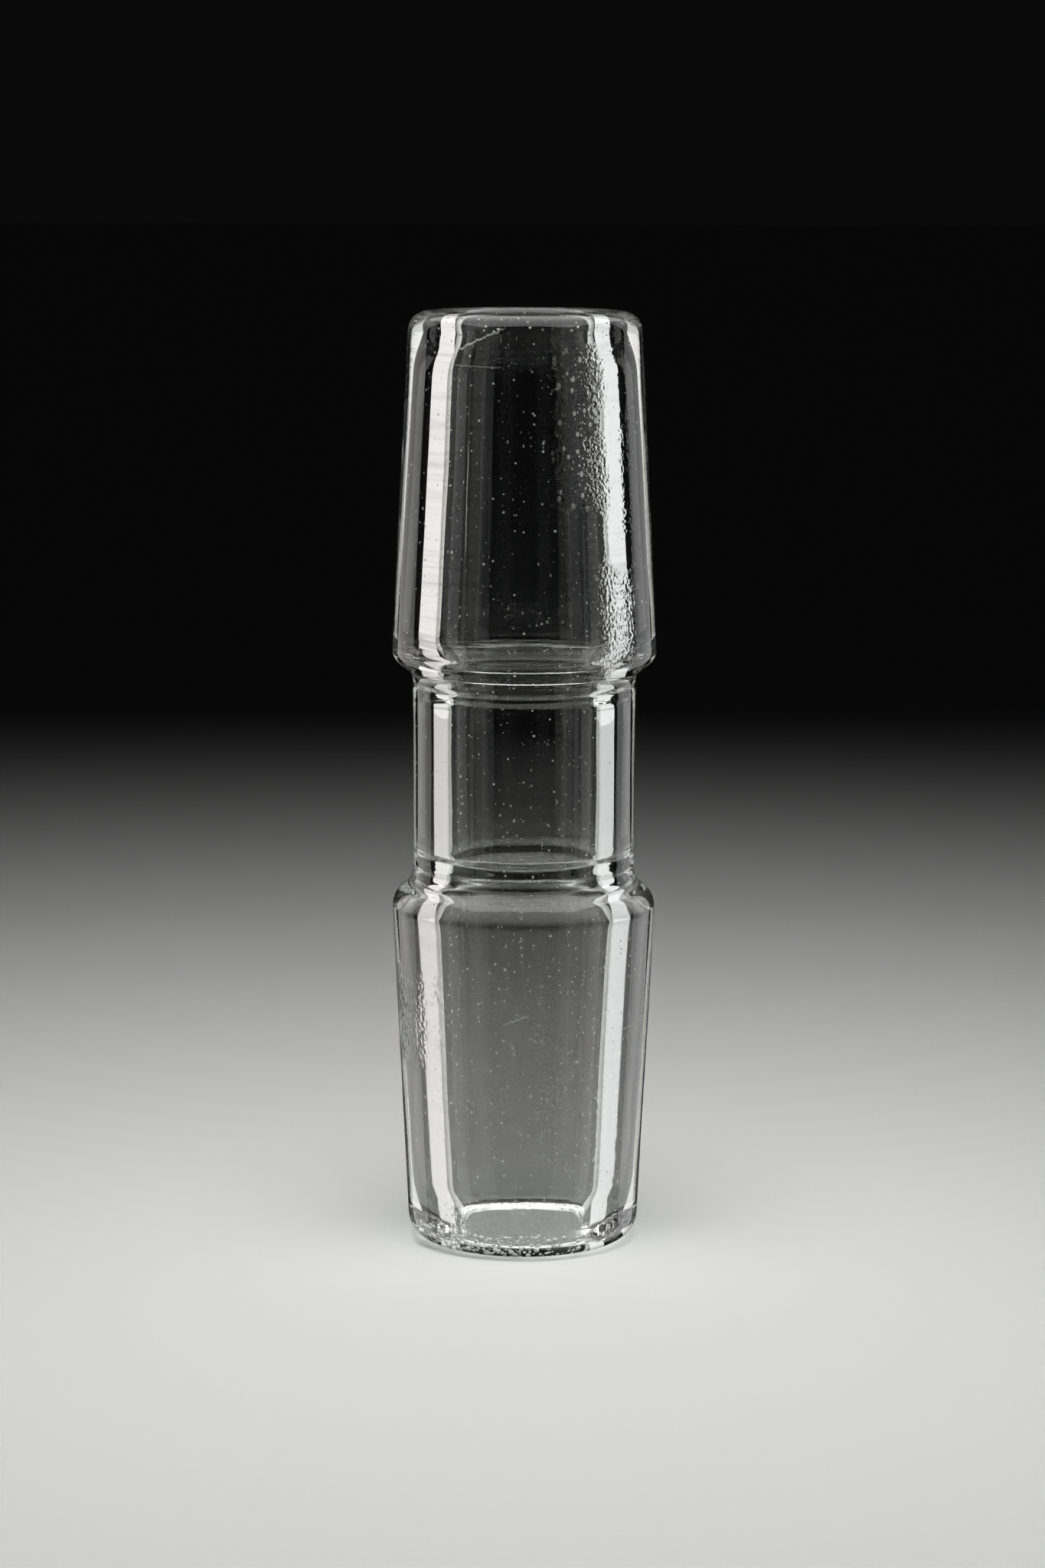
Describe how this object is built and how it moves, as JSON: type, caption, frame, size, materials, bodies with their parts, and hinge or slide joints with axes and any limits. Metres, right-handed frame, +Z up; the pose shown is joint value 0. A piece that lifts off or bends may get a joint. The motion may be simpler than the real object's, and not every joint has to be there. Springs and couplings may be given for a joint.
{
  "type": "double male taper glass joint adapter",
  "caption": "Clear glass adapter: two standard-taper cones, lips outwards, sealed to a short tube, to join two ground-joint sockets.",
  "frame": {"origin": "centre of the lower lip's flat face, on the surface that the adapter stands on", "axes": "+Z up the common axis of the tube and both cones; the part is round, so X and Y are any pair square to it"},
  "size_m": [0.0188, 0.0188, 0.0662],
  "materials": {
    "cone_glass": "clear borosilicate glass, tool-polished with fine turning rings",
    "tube_glass": "clear drawn borosilicate tubing, glossy",
    "seal_glass": "flame-melted borosilicate glass, glossy and slightly wavy"
  },
  "bodies": {
    "root": {"lower_cone": "cone_glass", "lower_seal": "seal_glass", "connecting_tube": "tube_glass", "upper_seal": "seal_glass", "upper_cone": "cone_glass"}
  },
  "joints": []
}
